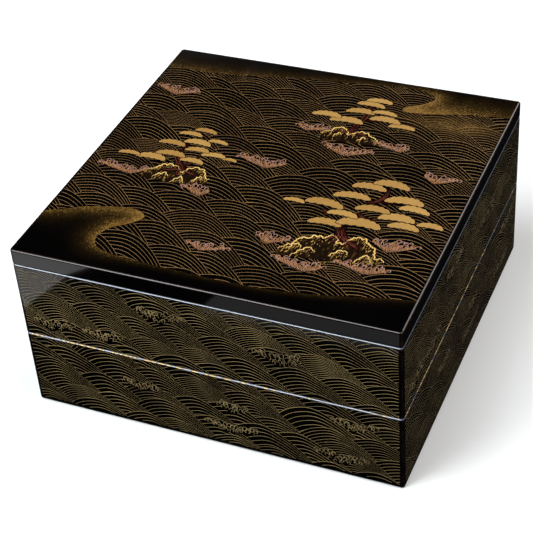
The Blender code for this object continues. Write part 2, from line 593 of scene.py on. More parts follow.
# %% Write Geometry Nodes recipes
class Recipe(Sheet):
    """A Geometry Nodes tree with named sizes, ended by Realize Instances and Set Material."""

    def __init__(self, name, sizes):
        tree = bpy.data.node_groups.new(name, "GeometryNodeTree")
        super().__init__(tree)
        tree.interface.new_socket("Geometry", in_out="INPUT", socket_type="NodeSocketGeometry")
        for label, value in sizes.items():
            socket = tree.interface.new_socket(label, in_out="INPUT", socket_type="NodeSocketFloat")
            socket.default_value = value
        finish = "NodeSocketMaterial"
        tree.interface.new_socket("Material", in_out="INPUT", socket_type=finish)
        tree.interface.new_socket("Geometry", in_out="OUTPUT", socket_type="NodeSocketGeometry")
        self.source = tree.nodes.new("NodeGroupInput")

    def given(self, label):
        return Signal(self, self.source.outputs[label])

    def named(self, name, kind="FLOAT"):
        return self.add("GeometryNodeInputNamedAttribute", {"data_type": kind}, {"Name": name})

    def vector(self, x=0.0, y=0.0, z=0.0):
        return self.add("ShaderNodeCombineXYZ", None, {"X": x, "Y": y, "Z": z})

    def end(self, geometry, smooth):
        real = self.add("GeometryNodeRealizeInstances", None, {"Geometry": geometry})
        sockets = {"Geometry": real, "Shade Smooth": smooth}
        shaded = self.add("GeometryNodeSetShadeSmooth", None, sockets)
        sockets = {"Geometry": shaded, "Material": self.given("Material")}
        painted = self.add("GeometryNodeSetMaterial", None, sockets)
        out = self.tree.nodes.new("NodeGroupOutput")
        self.tree.links.new(painted.socket, out.inputs["Geometry"])

    def cook(self, name, drawing, material, **sizes):
        """Runs the recipe on a mesh and gives the result as a plain mesh."""
        source = new_object(name, drawing)
        modifier = source.modifiers.new("recipe", "NODES")
        modifier.node_group = self.tree
        values = {label.replace("_", " "): value for label, value in sizes.items()}
        values["Material"] = material
        for socket in self.tree.interface.items_tree:
            if socket.in_out == "INPUT" and socket.name in values:
                modifier[socket.identifier] = values[socket.name]
        depsgraph = bpy.context.evaluated_depsgraph_get()
        result = bpy.data.meshes.new_from_object(source.evaluated_get(depsgraph))
        source.modifiers.remove(modifier)
        bpy.data.objects.remove(source)
        result.name = name
        return result


# %% Build the three recipes
def drawn_line_recipe():
    recipe = Recipe("drawn_line", {"Line width": 0.4 * MM, "Arch": 0.05 * MM})
    curve = recipe.add("GeometryNodeMeshToCurve", None, {"Mesh": recipe.given("Geometry")})
    curve = recipe.add("GeometryNodeSetCurveNormal", {"mode": "Z_UP"}, {"Curve": curve})
    half = recipe.given("Line width") * 0.5
    sockets = {
        "Resolution": 3,
        "Start": recipe.vector(-half),
        "Middle": recipe.vector(0.0, -recipe.given("Arch")),
        "End": recipe.vector(half),
    }
    section = recipe.add("GeometryNodeCurveArc", {"mode": "POINTS"}, sockets)
    sockets = {"Curve": curve, "Profile Curve": section, "Scale": recipe.named("width")}
    recipe.end(recipe.add("GeometryNodeCurveToMesh", None, sockets), True)
    return recipe


def cut_leaf_recipe():
    recipe = Recipe("cut_leaf", {"Layer": 0.004 * MM})
    flat = recipe.given("Geometry")
    height = recipe.named("level") * recipe.given("Layer")
    sockets = {"Mesh": flat, "Offset Scale": height, "Individual": True}
    raised = recipe.add("GeometryNodeExtrudeMesh", {"mode": "FACES"}, sockets)
    back = recipe.add("GeometryNodeFlipFaces", None, {"Mesh": flat})
    both = recipe.add("GeometryNodeJoinGeometry", None, {"Geometry": raised})
    recipe.tree.links.new(back.socket, both.socket.node.inputs["Geometry"])
    closed = recipe.add("GeometryNodeMergeByDistance", None, {"Geometry": both, "Distance": 1e-7})
    recipe.end(closed, False)
    return recipe


def dabs_recipe():
    recipe = Recipe("dabs", {"Dab length": 1.0 * MM, "Dab width": 0.3 * MM, "Arch": 0.05 * MM})
    sockets = {"Vertices": 6, "Radius": 0.5}
    disc = recipe.add("GeometryNodeMeshCircle", {"fill_type": "TRIANGLE_FAN"}, sockets)
    lift = recipe.vector(0.0, 0.0, 1.0)
    place = recipe.add("GeometryNodeInputPosition")
    away = recipe.add("ShaderNodeVectorMath", {"operation": "LENGTH"}, {0: place}).also("Value")
    sockets = {"Geometry": disc, "Selection": away.below(0.1), "Offset": lift}
    domed = recipe.add("GeometryNodeSetPosition", None, sockets)
    shape = recipe.vector(*map(recipe.given, ("Dab width", "Dab length", "Arch")))
    domed = recipe.add("GeometryNodeTransform", None, {"Geometry": domed, "Scale": shape})
    turn = recipe.vector(0.0, 0.0, recipe.named("turn"))
    sockets = {
        "Points": recipe.given("Geometry"),
        "Instance": domed,
        "Rotation": turn,
        "Scale": recipe.vector(recipe.named("width"), recipe.named("width"), 1.0),
    }
    recipe.end(recipe.add("GeometryNodeInstanceOnPoints", None, sockets), True)
    return recipe


DRAWN_LINE = drawn_line_recipe()
CUT_LEAF = cut_leaf_recipe()
DABS = dabs_recipe()
print("recipes:", [recipe.tree.name for recipe in (DRAWN_LINE, CUT_LEAF, DABS)])

# %% [markdown]
# Drawings are lists of paths, outlines and dabs in millimetres. These helpers turn them into
# flat meshes with the attributes that the recipes read.


# %% Turn drawings into flat meshes
def write_attribute(mesh, name, values, domain="POINT"):
    layer = mesh.attributes.new(name, "FLOAT", domain)
    layer.data.foreach_set("value", np.asarray(values, np.float32))


def flat_mesh(name, places, edges=(), faces=()):
    """A mesh at height zero, from places in millimetres."""
    mesh = bpy.data.meshes.new(name)
    flat = np.column_stack([places * MM, np.zeros(len(places))])
    mesh.from_pydata(flat.tolist(), list(edges), list(faces))
    return mesh


def path_mesh(paths):
    """A mesh of edges from paths, each a row of right, up, width and tone for every point."""
    rows = np.vstack(paths)
    counts = [len(path) for path in paths]
    firsts = np.concatenate([[0], np.cumsum(counts)[:-1]])
    edges = []
    for first, count in zip(firsts, counts):
        edges.extend((first + step, first + step + 1) for step in range(count - 1))
    mesh = flat_mesh("paths", rows[:, :2], edges=edges)
    write_attribute(mesh, "width", rows[:, 2])
    write_attribute(mesh, "tone", rows[:, 3])
    return mesh


def anticlockwise(outline):
    """The outline in the order that makes its face look up."""
    ahead = np.roll(outline, -1, axis=0)
    area = np.sum(outline[:, 0] * ahead[:, 1] - outline[:, 1] * ahead[:, 0])
    return outline if area > 0.0 else outline[::-1]


def outline_mesh(outlines):
    """A mesh of flat faces from outlines, each with its level in the stack and its tone."""
    outlines = [(anticlockwise(outline), level, tone) for outline, level, tone in outlines]
    corners = np.vstack([outline for outline, level, tone in outlines])
    faces = []
    first = 0
    for outline, level, tone in outlines:
        faces.append(list(range(first, first + len(outline))))
        first += len(outline)
    mesh = flat_mesh("outlines", corners, faces=faces)
    write_attribute(mesh, "level", [level for outline, level, tone in outlines], "FACE")
    write_attribute(mesh, "tone", [tone for outline, level, tone in outlines], "FACE")
    return mesh


def dab_mesh(dabs):
    """A mesh of loose points from dabs, each a row of right, up, size, tone and turn."""
    rows = np.array(dabs)
    mesh = flat_mesh("dabs", rows[:, :2])
    write_attribute(mesh, "width", rows[:, 2])
    write_attribute(mesh, "tone", rows[:, 3])
    write_attribute(mesh, "turn", rows[:, 4])
    return mesh


# %% [markdown]
# ## Laying the drawings on the box
#
# A sheet for the lid only has to be lifted to its top. A sheet for the walls is laid on all four
# sides, because the real box repeats one picture there, and its top edge is bent over the
# rounded shoulder of the tier. Each finished piece also gets a map for baking, in which its flat
# drawing fills the picture.

# %% Lay a flat film on the lid or round the walls
SUNK = 0.008         # how far a film's foot is sunk into the lacquer


def add_bake_map(mesh, low, size):
    """A flat map in which the drawing's own square becomes the unit square."""
    layer = mesh.uv_layers.new(name="OFBake")
    places = np.array([vert.co[:2] for vert in mesh.vertices]) / MM
    corners = np.empty(len(mesh.loops), np.int32)
    mesh.loops.foreach_get("vertex_index", corners)
    places = (places[corners] - np.array(low)) / size
    layer.data.foreach_set("uv", places.astype(np.float32).ravel())


def show(name, mesh):
    """Makes a finished mesh a piece of the box."""
    piece = new_object(name, mesh)
    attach(piece, BODY)
    triangles = sum(len(face.vertices) - 2 for face in mesh.polygons)
    print(f"{name}: {triangles} triangles")
    return piece


def lay_on_lid(name, mesh):
    add_bake_map(mesh, (-HALF, -HALF), SIDE)
    mesh.transform(Matrix.Translation((0.0, 0.0, (LID_TOP - SUNK) * MM)))
    return show(name, mesh)


def bend_over_shoulder(places, rim):
    """Moves what lies above the start of a tier's rounded shoulder round that shoulder."""
    start = rim - RIM_EDGE
    angle = np.maximum(places[:, 1] - start, 0.0) / RIM_EDGE
    reach = RIM_EDGE + places[:, 2]
    up = np.where(angle > 0.0, start + reach * np.sin(angle), places[:, 1])
    out = np.where(angle > 0.0, reach * np.cos(angle) - RIM_EDGE, places[:, 2])
    return np.column_stack([places[:, 0], up, out])


def lay_round_walls(name, mesh, low, high, rim):
    """Copies a flat film onto the four walls, one above the other in the map for baking."""
    flat = np.array([vert.co for vert in mesh.vertices]) / MM
    flat[:, 2] -= SUNK
    bent = bend_over_shoulder(flat, rim) * MM
    flat_mesh = bmesh.new()
    band = high - low
    for side in range(4):
        turn = Matrix.Rotation(math.radians(90.0 * side), 4, "Z")
        face = Matrix(((1, 0, 0, 0), (0, 0, -1, -HALF * MM), (0, 1, 0, 0), (0, 0, 0, 1)))
        wall = mesh.copy()
        add_bake_map(wall, (-HALF, low - band * side), SIDE)
        wall.vertices.foreach_set("co", bent.astype(np.float32).ravel())
        wall.transform(turn @ face)
        flat_mesh.from_mesh(wall)
        bpy.data.meshes.remove(wall)
    whole = bpy.data.meshes.new(name)
    flat_mesh.to_mesh(whole)
    flat_mesh.free()
    for material in mesh.materials:
        whole.materials.append(material)
    bpy.data.meshes.remove(mesh)
    return show(name, whole)


# %% [markdown]
# ## Ripples
#
# The water is a field of overlapping mounds. A mound rises at a gentle slope from the left,
# rounds over and falls away in a longer, steeper slope to the right. Its ripples are the same
# outline again, each a little lower and further to the right than the last, so that they crowd
# together on the falling slope. Mounds are drawn from the far row to the near one and, in a row,
# from right to left, and each hides what it covers of those before it.


# %% Lay out a field of ripples
class Water:
    """Mounds over a sheet, in the order in which they are drawn."""

    REACH = (-34.0, 62.0)           # how far a ripple runs to the left and right of its peak
    LEFT_FOOT = (8.0, 0.035)        # from where it sinks faster on the left, and how fast
    RIGHT_FOOT = (9.0, 0.012)       # the same on the right
    NEAR_SPREAD = 0.16              # how much wider apart the ripples of the nearest row are
    FINE_SPREAD = 0.62              # how close the ripples of a fine mound are
    SHRINK = 0.05                   # how much rounder each ripple is than the last
    COVER_REACH = 120.0             # mounds further away than this hide nothing
    COVER_MARGIN = 0.2

    def __init__(self, column, row, pitch, fine, slide, rise, fall, bend, seed, low, high):
        self.chance = np.random.default_rng(seed)
        self.slide = slide
        self.rise = rise
        self.fall = fall
        self.bend = bend
        mounds = []
        count = int((high - low) / row) + 5
        for index in range(count):
            height = high + 1.5 * row - index * row
            near = np.clip((high - height) / (high - low), 0.0, 1.0)
            start = -HALF - 3.0 * column + (index % 2) * 0.5 * column
            for place in np.arange(start, HALF + 2.0 * column, column)[::-1]:
                right = place + self.chance.uniform(-0.24, 0.24) * column
                up = height + self.chance.uniform(-0.26, 0.26) * row
                size = self.chance.uniform(0.78, 1.3)
                apart = pitch * (1.0 + self.NEAR_SPREAD * near) * self.chance.uniform(0.82, 1.28)
                if self.chance.uniform() < fine:
                    apart *= self.FINE_SPREAD
                mounds.append((right, up, size, apart))
        self.mounds = np.array(mounds)

    def outline(self, across, size):
        """Height of a mound's outline at a distance to the right of its peak."""
        mean = (self.rise + self.fall) / 2
        lean = (self.fall - self.rise) / 2
        bend = self.bend * size
        peak = -bend * lean / math.sqrt(mean**2 - lean**2)
        top = -mean * np.sqrt(peak**2 + bend**2) - lean * peak
        moved = across + peak
        foot = self.LEFT_FOOT[1] * np.clip(-across - self.LEFT_FOOT[0], 0.0, None) ** 2
        foot += self.RIGHT_FOOT[1] * np.clip(across - self.RIGHT_FOOT[0], 0.0, None) ** 2
        return -mean * np.sqrt(moved**2 + bend**2) - lean * moved - top - foot

    def covered(self, first, spots):
        """Which spots lie under any mound from that one on."""
        right, up, size, apart = self.mounds[first:].T
        close = np.abs(right - spots[:, 0].mean()) < self.COVER_REACH
        across = spots[:, 0:1] - right[close]
        down = spots[:, 1:2] - up[close]
        return (down < self.outline(across, size[close]) - self.COVER_MARGIN).any(axis=1)

    def ripple_path(self, mound, index):
        """One ripple of a mound, from its left foot to far down its slope."""
        right, up, size, apart = mound
        across = np.linspace(*self.REACH, 260)
        drop = index * apart
        height = self.outline(across, size * max(0.45, 1.0 - self.SHRINK * index))
        return np.column_stack([right + self.slide * drop + across, up - drop + height])


# %% Draw the ripples that can be seen
def evenly(path, step):
    """The same path with its points that far apart."""
    lengths = np.linalg.norm(np.diff(path, axis=0), axis=1)
    along = np.concatenate([[0.0], np.cumsum(lengths)])
    places = np.arange(0.0, along[-1], step)
    return np.column_stack([np.interp(places, along, column) for column in path.T])


LOOK_STEP = 0.3              # how finely a ripple is tested for what hides it
KEEP_EVERY = 5               # how many of those steps lie between two points that are kept
SHORTEST = 3
RIPPLES = 34
SLOPES = (-0.7, 0.0, 0.7)    # the slopes for which a line's three breadths are given


def draw_water(water, is_open, width, breadths):
    """Every visible ripple of the water, where is_open says that water may be drawn.

    A brush line is broadest over the crown of a mound. The three breadths are its shares of
    the width on the falling slope, the crown and the rising slope.
    """
    paths = []
    for index, mound in enumerate(water.mounds):
        tone = water.chance.uniform(0.0, 1.0)
        breadth = width * (mound[3] / water.mounds[:, 3].mean()) ** 0.3
        for ripple in range(RIPPLES):
            path = evenly(water.ripple_path(mound, ripple), LOOK_STEP)
            shown = is_open(path)
            if not shown.any():
                continue
            shown[shown] = ~water.covered(index + 1, path[shown])
            edges = np.flatnonzero(np.diff(np.concatenate([[0], shown.astype(int), [0]])))
            for first, last in zip(edges[::2], edges[1::2]):
                if last - first < SHORTEST:
                    continue
                chosen = np.unique(np.append(np.arange(first, last, KEEP_EVERY), last - 1))
                run = path[chosen]
                slope = np.gradient(run[:, 1]) / np.maximum(np.gradient(run[:, 0]), 1e-6)
                widths = breadth * np.interp(slope, SLOPES, breadths)
                paths.append(np.column_stack([run, widths, np.full(len(run), tone)]))
    return paths


# %% [markdown]
# ## The gold of the ripples
#
# Powder sprinkled on a thin line of lacquer is broken and uneven, so the line is bronze more
# than gold, brighter in some stretches and nearly black in others. The gold of the walls is a
# little greener than that of the lid.

# %% Mix the gold of the ripples
LINE_DARK = screen_colour(118, 86, 50)
LINE_LIGHT = screen_colour(175, 134, 82)
WALL_DARK = screen_colour(130, 111, 76)
WALL_LIGHT = screen_colour(210, 183, 122)
LINE_POWDER = 0.16           # size of the grains on a line


def line_gold(name, dark, light):
    finish = Finish(name)
    drift = finish.noise(24.0, 3.0).step(0.3, 0.7)
    tone = (finish.attribute("tone") * 0.45 + drift * 0.55).least(1.0)
    powder = finish.grains(LINE_POWDER)
    colour = finish.mix(tone, dark, light)
    colour = finish.mix(powder.step(0.7, 1.0) * 0.3, colour, GOLD_MIST_BRIGHT)
    colour = finish.mix(powder.step(0.35, 0.0) * 0.2, colour, LACQUER)
    normal = finish.bump(powder, 0.01, 0.6)
    return finish.close(colour, tone * -0.08 + 0.5, 0.4, normal)


# %% [markdown]
# The lid's water leaves both banks of mist free and ends just short of the rounded edge. Its
# mounds are broad and their ripples wide apart, so that single lines can be followed.

# %% Draw the water on the lid
LID_EDGE_FREE = 1.3
LINE = {"Line_width": 1.0 * MM}    # a line's own width comes from its attribute, in millimetres


def lid_is_open(spots):
    """Water lies on the lid's flat top, outside both banks of mist."""
    on_lid = np.abs(spots).max(axis=1) < HALF - LID_EDGE_FREE
    return on_lid & ~BANKS[0].holds(spots) & ~BANKS[1].holds(spots)


lid_water = Water(
    column=23.5, row=13.4, pitch=2.12, fine=0.05, slide=0.32, rise=0.50, fall=0.7, bend=9.0,
    seed=11, low=-HALF, high=HALF,
)
lid_paths = draw_water(lid_water, lid_is_open, 0.265, (0.78, 1.12, 1.12))
line_finish = line_gold("ripple_gold", LINE_DARK, LINE_LIGHT)
drawing = path_mesh(lid_paths)
film = DRAWN_LINE.cook("lid_ripples", drawing, line_finish, Arch=0.15 * MM, **LINE)
lay_on_lid("lid_ripples", film)

# %% [markdown]
# On the walls the mounds are flatter and finer. One picture runs over both tiers, so both use
# the same water and each keeps the part of it that lies between its own edges. On the lower
# tier the lines run on over the rounded shoulder of the rim.

# %% Draw the water on the walls
WALL_EDGE_FREE = 2.0
BASE_FREE = 2.4


def wall_is_open(low, high):
    def is_open(spots):
        across = np.abs(spots[:, 0]) < HALF - WALL_EDGE_FREE
        return across & (spots[:, 1] > low) & (spots[:, 1] < high)
    return is_open


wall_finish = line_gold("wall_gold", WALL_DARK, WALL_LIGHT)
# lowest and highest ripple, and the rim
TIERS = {
    "lower_tier": (BASE_FREE, LOWER_RIM + 0.25, LOWER_RIM),
    "upper_tier": (LOWER_RIM + SEAM + 0.5, UPPER_RIM - RIM_EDGE, UPPER_RIM),
}
for tier, (low, high, rim) in TIERS.items():
    water = Water(
        column=24.0, row=10.6, pitch=1.74, fine=0.2, slide=0.48, rise=0.56, fall=0.62, bend=6.5,
        seed=29, low=0.0, high=UPPER_RIM,
    )
    paths = draw_water(water, wall_is_open(low, high), 0.22, (0.68, 1.25, 0.8))
    name = tier + "_ripples"
    film = DRAWN_LINE.cook(name, path_mesh(paths), wall_finish, Arch=0.14 * MM, **LINE)
    lay_round_walls(name, film, low, high, rim)

# %% [markdown]
# ## Figures
#
# Over the water lie pines on rocks and crests of spray. Each figure is a film laid over a
# slightly larger one of black lacquer, which leaves a thin dark line round it and parts it from
# its neighbours. `Figures` collects the shapes of one sheet, and the recipes cut them all at
# once, one piece for each finish.


# %% Collect the shapes of the figures
class Figures:
    """Strokes, leaves and dabs that wait to be cut, by the name of their piece."""

    def __init__(self, seed):
        self.chance = np.random.default_rng(seed)
        self.strokes = {}
        self.leaves = {}
        self.dabs = {}

    def stroke(self, piece, points, widths, tones=(0.0, 0.0)):
        """A brush stroke whose width and tone go evenly from one value to the next."""
        points = np.asarray(points, float)
        share = np.linspace(0.0, 1.0, len(points))
        width = np.interp(share, np.linspace(0.0, 1.0, len(widths)), widths)
        tone = np.interp(share, np.linspace(0.0, 1.0, len(tones)), tones)
        self.strokes.setdefault(piece, []).append(np.column_stack([points, width, tone]))

    def leaf(self, piece, outline, level, tone=0.0, rim=0.4):
        """A leaf of gold, with a black one below it that shows all round by the rim."""
        self.leaves.setdefault(piece, []).append((outline, level, tone))
        if rim:
            self.ground(grown(outline, rim), level - 1)

    def ground(self, outline, level):
        """A film of black lacquer, which hides what lies below it."""
        self.leaves.setdefault("black_grounds", []).append((outline, level, 0.0))

    def dab(self, piece, place, size, tone, turn):
        self.dabs.setdefault(piece, []).append((*place, size, tone, turn))


def grown(outline, rim):
    """An outline moved outwards by the rim."""
    outline = anticlockwise(outline)
    along = np.roll(outline, -1, axis=0) - np.roll(outline, 1, axis=0)
    out = np.column_stack([along[:, 1], -along[:, 0]])
    out /= np.maximum(np.linalg.norm(out, axis=1, keepdims=True), 1e-9)
    return outline + out * rim


def turned(points, degrees, place):
    angle = math.radians(degrees)
    turn = np.array([[math.cos(angle), math.sin(angle)], [-math.sin(angle), math.cos(angle)]])
    return np.asarray(points) @ turn + np.asarray(place)


def wriggling(points, chance, size=0.34, step=0.55):
    """A smooth path through the points that shakes a little from side to side."""
    path = evenly(smooth_through(points, 8), step)
    along = np.arange(len(path)) * step
    shake = np.zeros(len(path))
    for wave in (1.7, 2.9, 4.6):
        turn = 2 * math.pi * (along / wave + chance.uniform())
        shake += size * np.sin(turn) * chance.uniform(0.4, 1.0)
    run = np.gradient(path, axis=0)
    run /= np.maximum(np.linalg.norm(run, axis=1, keepdims=True), 1e-9)
    return path + np.column_stack([-run[:, 1], run[:, 0]]) * shake[:, None]


# %% [markdown]
# ## Pines
#
# A pine is drawn as flat cushions of needles, each arched on top with small scallops and
# slightly hollow below, held up by a dark red trunk whose roots grip a rock. The cushions are
# laid from the lowest to the highest, so that the upper ones overlap the lower.

# %% Draw cushions of needles
CUSHION_LEVEL = 36
LIMB_RIM = 0.35          # black that shows on each side of a limb
THICK_LIMB = 1.6         # limbs wider than this carry streaks


def cushion(figures, place, width, level):
    """One cushion: its ends droop a little and are rounded, and its top is scalloped."""
    chance = figures.chance
    share = np.sin(np.linspace(-0.5, 0.5, 60) * math.pi)
    skew = chance.uniform(-0.14, 0.14)
    moved = np.clip(share - skew * (1.0 - share**2), -1.0, 1.0)
    middle = 0.06 * (1.0 - share**2) - 0.035
    ends = np.sqrt(1.0 - share**8)
    arch = (1.0 - np.abs(moved) ** 2.4) ** 0.8
    scallop = np.abs(np.sin(math.pi * (share * width / 6.0 + chance.uniform()))) ** 0.6
    ripple = np.abs(np.sin(math.pi * (2.7 * share + chance.uniform())))
    tall = chance.uniform(0.10, 0.15)
    top = middle + (0.04 + 0.045 * scallop) * ends + tall * arch
    bottom = middle - (0.055 + 0.028 * ripple) * ends
    outline = np.vstack([
        np.column_stack([share / 2, top]),
        np.column_stack([share / 2, bottom])[::-1][1:-1],
    ]) * width
    outline = turned(outline, chance.uniform(-4.0, 4.0), place)
    figures.leaf("pine_cushions", outline, level, chance.uniform(0.3, 0.9))


def trunk(figures, points, widths):
    """One limb, with light streaks that follow it."""
    path = wriggling(points, figures.chance, 0.14, 0.6)
    figures.stroke("limb_rims", path, [width + 2 * LIMB_RIM for width in widths])
    figures.stroke("limbs", path, widths, (-0.2, -0.05))
    if max(widths) > THICK_LIMB:
        for side in (-0.22, 0.2):
            first = figures.chance.integers(1, 3)
            streak = path[first: -2] + np.array([side * max(widths), 0.0])
            if len(streak) > 4:
                figures.stroke("limb_streaks", streak, (0.1, 0.3, 0.26, 0.08), (0.3, 0.9, 0.3))


def pine(figures, cushions, limbs):
    for points, widths in limbs:
        trunk(figures, points, widths)
    lowest_first = sorted(cushions, key=lambda cushion_place: cushion_place[1])
    for index, (right, up, width) in enumerate(lowest_first):
        cushion(figures, (right, up), width, CUSHION_LEVEL + 2 * index)


# %% [markdown]
# ## Rocks and spray
#
# A rock is a black shape edged with a bright wriggling line that swells out in round knobs. It
# has short open arcs inside it and a fringe of olive dabs that hang below every line. A crest of
# spray rests on the slope of a mound: copper streaks fan out of its foot, and tin and violet
# curls roll over along its lobes.

# %% Draw a rock
ROCK_LEVEL = 18
KNOB_STEP = 0.55
EDGE_WIDTHS = (0.4, 0.8, 0.6, 0.85, 0.65, 0.4)
ARC_WIDTHS = (0.3, 0.65, 0.6, 0.25)
FRINGE_DROPS = (1.5, 2.7, 4.0, 5.4)


def knobbly(points, chance):
    """A wriggling line that also swells out in round knobs, as the edge of a worn rock does."""
    path = wriggling(points, chance, 0.3, KNOB_STEP)
    along = KNOB_STEP * np.arange(len(path)) / chance.uniform(3.0, 3.8)
    knobs = np.abs(np.sin(math.pi * (along + chance.uniform()))) ** 0.7
    return path + np.column_stack([np.zeros(len(path)), 1.1 * knobs - 0.6])


def dome(lobe, foot, across):
    centre, top, half = lobe
    share = np.clip(np.abs(across - centre) / (1.3 * half), 0.0, 1.0)
    return foot + (top - foot) * (1.0 - share**2.4) ** 0.6


def fringe(figures, lines, foot):
    """Olive dabs that hang below the lines, fewer the lower they hang."""
    chance = figures.chance
    for place in (place for line in lines for place in line[1:-1]):
        for drop in FRINGE_DROPS:
            if chance.uniform() < 0.44 - 0.07 * drop:
                aside = chance.uniform(-0.4, 0.4)
                spot = place + np.array([aside, -drop * chance.uniform(0.8, 1.25)])
                bright = chance.uniform(0.0, 0.55) + (0.4 if chance.uniform() < 0.12 else 0.0)
                if spot[1] > foot - 0.2:
                    size = chance.uniform(0.7, 1.3)
                    figures.dab("rock_fringe", spot, size, bright, chance.uniform(-0.5, 0.2))


def rock(figures, left, right, lobes, arcs):
    chance = figures.chance
    across = np.arange(left[0], right[0], 0.7)
    foot = np.interp(across, [left[0], right[0]], [left[1], right[1]])
    heights = np.max([dome(lobe, foot, across) for lobe in lobes], axis=0)
    edge = knobbly(np.column_stack([across, heights])[::2], chance)
    base = np.column_stack([across[::-1], foot[::-1] - 0.4])[1:-1]
    outline = np.vstack([edge, base])
    figures.ground(outline, ROCK_LEVEL)
    figures.leaf("rock_shade", outline, ROCK_LEVEL + 1, rim=0)
    figures.stroke("rock_lines", edge, EDGE_WIDTHS, (0.3, 0.9, 0.4, 1.0))
    lines = [edge]
    for centre, top, half, low in arcs:
        share = np.linspace(-1.0, chance.uniform(0.5, 0.8), 8)
        height = low + (top - low) * (1.0 - np.abs(share) ** 1.5)
        arc = knobbly(np.column_stack([centre + share * half, height]), chance)
        figures.stroke("rock_lines", arc, ARC_WIDTHS, (0.3, 1.0, 0.4))
        lines.append(arc)
    fringe(figures, lines, left[1])


# %% Draw a curl of spray
SPRAY_LEVEL = 40
BOW = 0.35                       # how far the stem of a curl leans before it rolls over
ROLL = math.radians(205.0)


def claw(start, heading, length, way, radius):
    """A finger of spray that bows to one side and rolls over at its end."""
    bows = np.linspace(0.0, BOW, 4)
    turns = BOW + np.linspace(0.0, ROLL, 8)[1:]
    headings = heading + np.concatenate([bows, turns]) * way
    steps = np.concatenate([np.full(4, length / 4), radius * np.linspace(0.5, 0.32, 7)])
    moves = np.column_stack([np.sin(headings), np.cos(headings)]) * steps[:, None]
    return np.vstack([start, start + np.cumsum(moves, axis=0)])


# %% Shape a crest
class Crest:
    """The space of one crest of spray, between the slope that it rests on and its own lobes."""

    def __init__(self, chance, left, right, top, bottom, lean):
        self.left, self.right = left, right
        self.width = right - left
        self.tall = top - bottom
        self.bottom = bottom
        self.tip = left + self.width * (0.55 - 0.3 * lean)
        count = max(2, round(self.width / 6.0))
        middles = (np.arange(count) + chance.uniform(0.3, 0.7, count)) / count
        self.lobes = [(left + self.width * middle, chance.uniform(0.5, 1.0),
                       self.width / count * chance.uniform(0.44, 0.66)) for middle in middles]
        self.lobes.append(((left + right) / 2, 0.62, 0.54 * self.width))

    def slope(self, place):
        """The lower edge, which sinks to a blunt tip."""
        side = np.where(place < self.tip, self.tip - self.left, self.right - self.tip)
        share = np.clip(np.abs(place - self.tip) / side, 0.0, 1.0)
        return self.bottom + 0.52 * self.tall * share**1.3

    def crown(self, place):
        """The upper edge, made of lobes."""
        height = np.zeros_like(place, float)
        for middle, share, half in self.lobes:
            away = np.clip(np.abs(place - middle) / half, 0.0, 1.0)
            height = np.maximum(height, share * np.sqrt(1.0 - away**2))
        slope = self.slope(place)
        return slope + 0.6 + (self.bottom + 0.62 * self.tall - slope) * height


# %% Draw a crest's streaks and curls
class Hand:
    """The way in which a crest is drawn."""

    def __init__(self, piece, step, skip, shake, thick, size, reach, rows):
        self.piece = piece
        self.step = step        # from one streak to the next
        self.skip = skip        # share of the streaks that are left out
        self.shake = shake      # how far a streak sways
        self.thick = thick      # width of the lines
        self.size = size        # of the curls
        self.reach = reach      # length of the curls' stems
        self.rows = rows        # height of each row of curls, and the space between two curls


POWDERED = Hand("spray_lines", 0.6, 0.0, 0.16, 0.4, 1.0, 1.0,
                ((1.0, 1.9), (0.62, 2.4), (0.3, 3.0)))
LINED = Hand("crest_lines", 2.2, 0.5, 0.4, 0.18, 1.2, 0.45,
             ((1.0, 2.0), (0.74, 2.2), (0.48, 2.4), (0.22, 2.8)))


def streaks(figures, crest, hand):
    """Fine streaks that fan out of the crest's foot."""
    chance = figures.chance
    rise = np.linspace(0.0, 1.0, 6)
    fan_from = crest.bottom - 0.9 * crest.tall
    widths = np.array([0.6, 1.0, 0.8]) * hand.thick
    for place in np.arange(crest.left + 0.5, crest.right - 0.3, hand.step):
        if hand.skip and chance.uniform() < hand.skip:
            continue
        low, high = crest.slope(place), crest.crown(place)
        slant = 0.35 * (place - crest.tip) / (high - fan_from)
        sway = hand.shake * np.sin(7.0 * rise + chance.uniform(0.0, 6.3))
        climb = rise * (high - low)
        streak = np.column_stack([place + slant * climb + sway, low + climb])
        shade = chance.uniform(0.0, 0.2)
        kept = 6 if chance.uniform() < 0.7 else 4
        figures.stroke(hand.piece, streak[:kept], widths, (0.0, 0.4 * shade, shade))


def curls(figures, crest, hand, lean):
    """Rows of curls along the crest's lobes, with small holes between the upper ones."""
    chance = figures.chance
    widths = np.array([0.8, 1.0, 1.2, 0.6]) * hand.thick
    for row, spacing in hand.rows:
        first = crest.left + chance.uniform(0.5, 1.2)
        for place in np.arange(first, crest.right - 0.4, spacing):
            place += chance.uniform(-0.3, 0.3)
            low, high = crest.slope(place), crest.crown(place)
            start = np.array([place, low + row * (high - low) - 0.5])
            heading = 1.2 * (place - crest.tip) / crest.width + chance.uniform(-0.35, 0.35)
            way = 1.0 if chance.uniform() < 0.5 + 0.3 * lean else -1.0
            length = (0.12 + 0.2 * row * chance.uniform()) * crest.tall * hand.reach
            radius = hand.size * (chance.uniform(0.5, 0.8) + 0.45 * row)
            if row > 0.6 and chance.uniform() < 0.25:
                hole = start + np.array([0.7 * way, 0.1])
                blot = np.array([(-0.35, 0.0), (0.0, -0.45), (0.4, 0.0), (0.05, 0.5)]) + hole
                figures.ground(blot, SPRAY_LEVEL + 5)
            curl = claw(start, heading, length, way, radius)
            figures.stroke(hand.piece, curl, widths, (0.0, 0.0, 0.3 * row, row))


